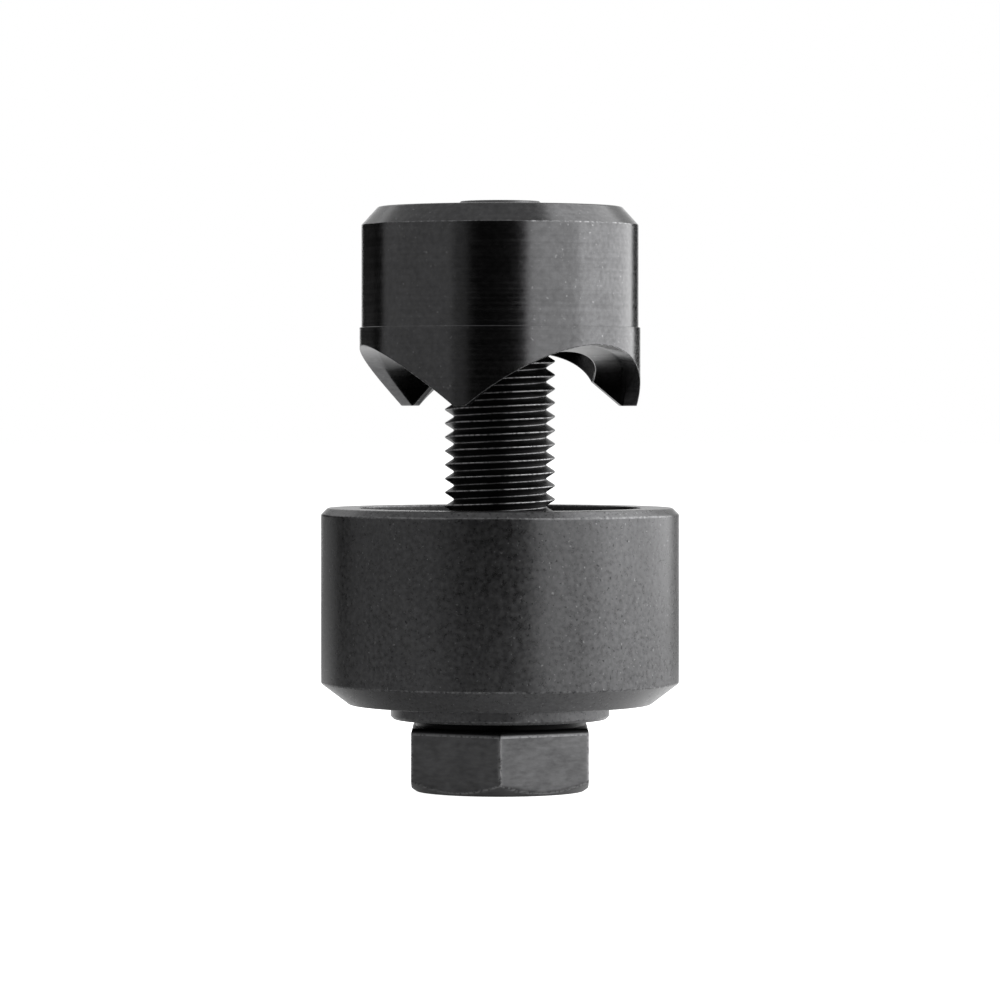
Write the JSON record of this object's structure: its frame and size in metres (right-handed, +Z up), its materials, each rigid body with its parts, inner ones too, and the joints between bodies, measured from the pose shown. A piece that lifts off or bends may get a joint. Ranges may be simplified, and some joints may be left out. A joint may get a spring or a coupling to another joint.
{
  "type": "screw punch",
  "caption": "Screw punch: a hex-headed draw screw pulls a toothed round punch through sheet metal into a cup-shaped die.",
  "frame": {"origin": "middle of the outer face of the hex head, which the tool stands on", "axes": "+Z up along the axis of the screw, from head to punch; -Y is the front of the picture, with +X to its right"},
  "size_m": [0.0324, 0.0324, 0.0533],
  "materials": {
    "die_steel": "black oxide on turned and tumbled tool steel, faintly speckled",
    "punch_steel": "black oxide on finely turned tool steel, satin",
    "screw_steel": "black oxide on alloy steel, oiled, bright thread crests",
    "washer_steel": "black oxide on hardened bearing steel",
    "race_steel": "ground bearing steel",
    "ball_steel": "polished bearing steel",
    "cage_brass": "pressed brass"
  },
  "bodies": {
    "die": {"die": "die_steel", "housing_washer": "race_steel"},
    "screw": {"draw_screw": "screw_steel", "shaft_washer": "washer_steel"},
    "cage": {"ball_cage": "cage_brass", "bearing_ball_1": "ball_steel", "bearing_ball_2": "ball_steel", "bearing_ball_3": "ball_steel", "bearing_ball_4": "ball_steel", "bearing_ball_5": "ball_steel", "bearing_ball_6": "ball_steel", "bearing_ball_7": "ball_steel", "bearing_ball_8": "ball_steel", "bearing_ball_9": "ball_steel", "bearing_ball_10": "ball_steel", "bearing_ball_11": "ball_steel", "bearing_ball_12": "ball_steel", "bearing_ball_13": "ball_steel", "bearing_ball_14": "ball_steel"},
    "punch": {"punch": "punch_steel"}
  },
  "joints": [
    {"name": "screw_turn", "type": "hinge", "parent": "die", "child": "screw", "pos_m": [0, 0, 0], "axis": [0, 0, 1], "range_deg": [-2593, 4753]},
    {"name": "punch_draw", "type": "slide", "parent": "die", "child": "punch", "axis": [0, 0, 1], "range_m": [-0.0165, 0.009]},
    {"name": "cage_turn", "type": "hinge", "parent": "die", "child": "cage", "pos_m": [0, 0, 0], "axis": [0, 0, 1], "range_deg": [-1297, 2377]}
  ],
  "couplings": [
    {"joint": "screw_turn", "follows": "punch_draw", "rad_per_m": -5026.5},
    {"joint": "cage_turn", "follows": "punch_draw", "rad_per_m": -2513.3}
  ]
}
